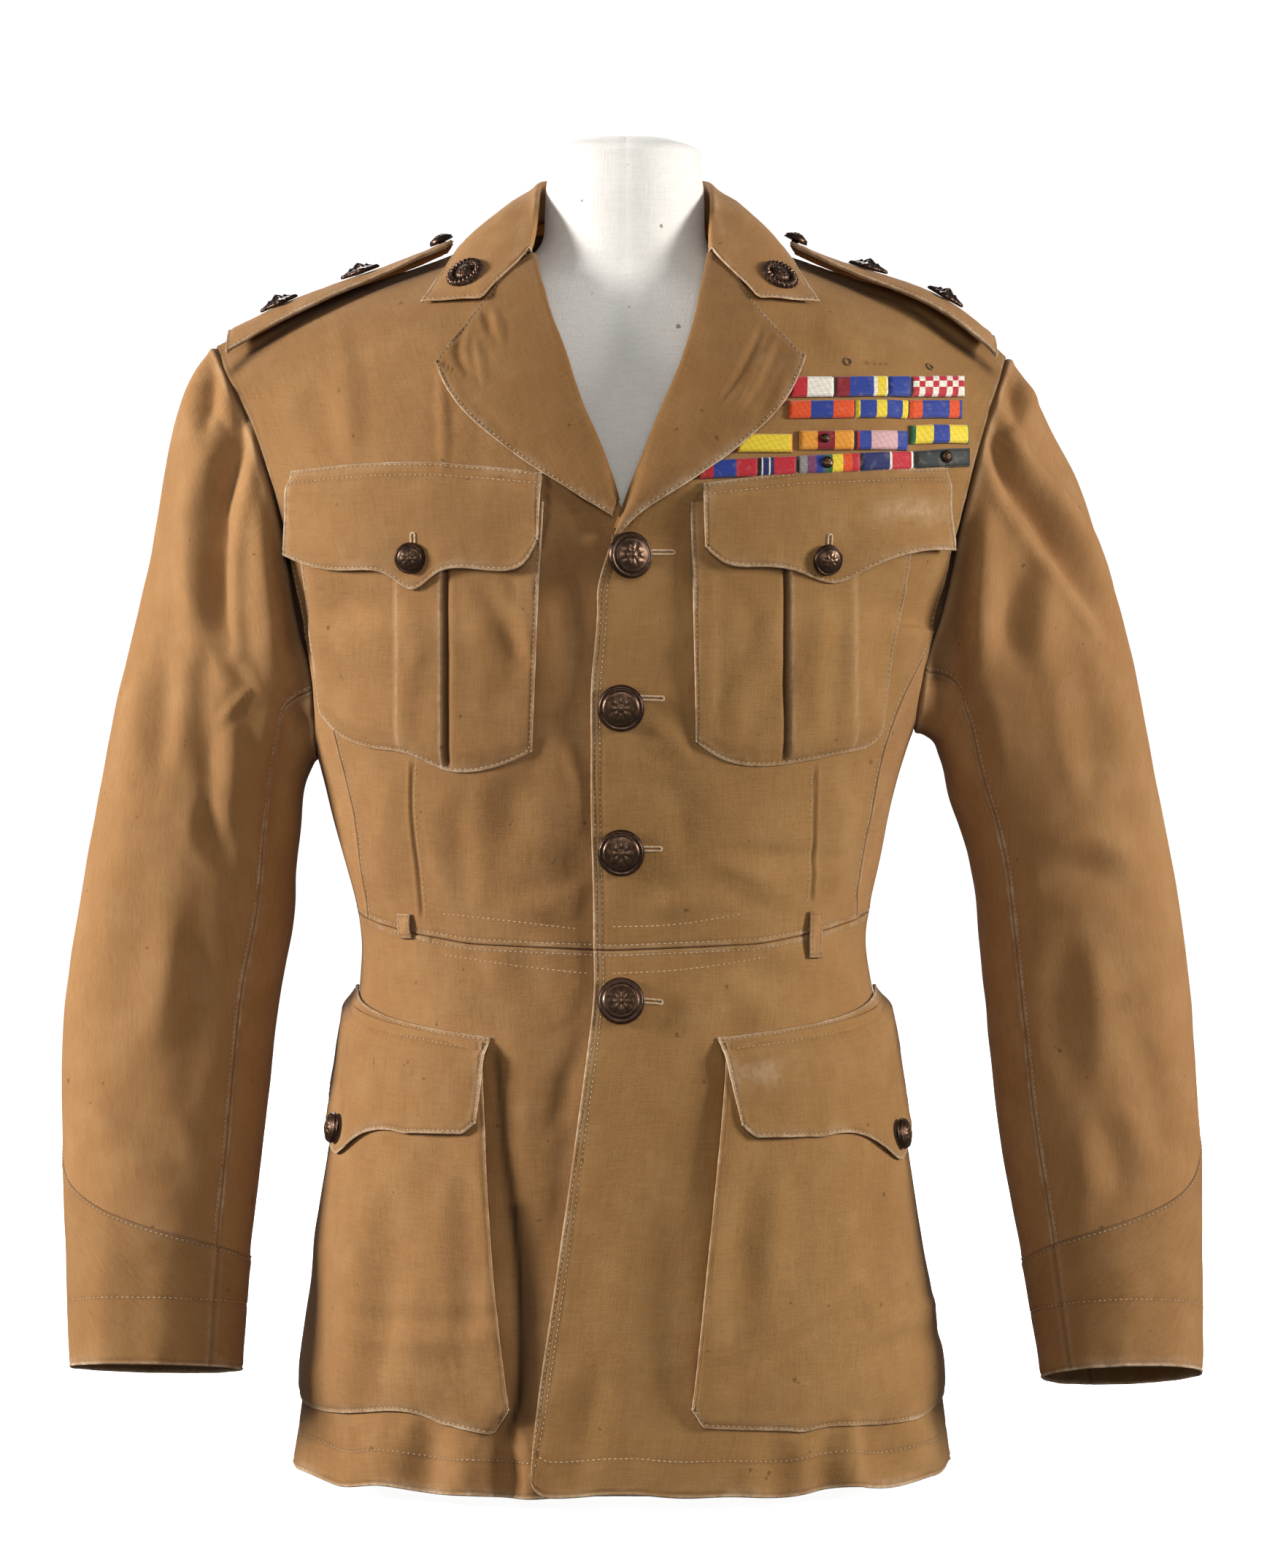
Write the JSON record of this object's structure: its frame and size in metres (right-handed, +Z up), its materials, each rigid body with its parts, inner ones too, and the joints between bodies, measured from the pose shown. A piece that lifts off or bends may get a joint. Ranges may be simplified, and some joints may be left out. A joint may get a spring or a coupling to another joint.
{
  "type": "officer's service tunic on a limbless dress form",
  "caption": "Single-breasted khaki drill service tunic with flap pockets, shoulder straps and medal ribbons, buttoned on a limbless linen dress form.",
  "frame": {"origin": "on the ground, under the middle of the dress form's flat base", "axes": "+Z up along the form, -Y out of the tunic's front, +X to the wearer's left"},
  "size_m": [0.6518, 0.2862, 0.767],
  "materials": {
    "drill": "matt cotton drill twill with a soft nap",
    "linen": "matt off-white linen",
    "bronze": "dark bronzed brass, half gloss",
    "ribbon": "ribbed silk, striped in several colours"
  },
  "bodies": {
    "root": {"front_L": "drill", "front_R": "drill", "side_L": "drill", "side_R": "drill", "back_L": "drill", "back_R": "drill", "skirt_front_L": "drill", "skirt_front_R": "drill", "skirt_back_L": "drill", "skirt_back_R": "drill", "collar": "drill", "lapel_L": "drill", "lapel_R": "drill", "sleeve_top_L": "drill", "sleeve_top_R": "drill", "sleeve_under_L": "drill", "sleeve_under_R": "drill", "cuff_L": "drill", "cuff_R": "drill", "chest_pocket_L": "drill", "chest_pocket_R": "drill", "chest_flap_L": "drill", "chest_flap_R": "drill", "skirt_pocket_L": "drill", "skirt_pocket_R": "drill", "skirt_flap_L": "drill", "skirt_flap_R": "drill", "shoulder_strap_L": "drill", "shoulder_strap_R": "drill", "belt_loop_L": "drill", "belt_loop_R": "drill", "button_1": "bronze", "button_2": "bronze", "button_3": "bronze", "button_4": "bronze", "chest_button_L": "bronze", "chest_button_R": "bronze", "skirt_button_L": "bronze", "skirt_button_R": "bronze", "strap_button_L": "bronze", "strap_button_R": "bronze", "star_L1": "bronze", "star_L2": "bronze", "star_R1": "bronze", "star_R2": "bronze", "badge_L": "bronze", "badge_R": "bronze", "eyelet_1": "bronze", "eyelet_2": "bronze", "ribbon_1": "ribbon", "ribbon_2": "ribbon", "ribbon_3": "ribbon", "ribbon_4": "ribbon", "ribbon_5": "ribbon", "ribbon_6": "ribbon", "dress_form": "linen"}
  },
  "joints": []
}
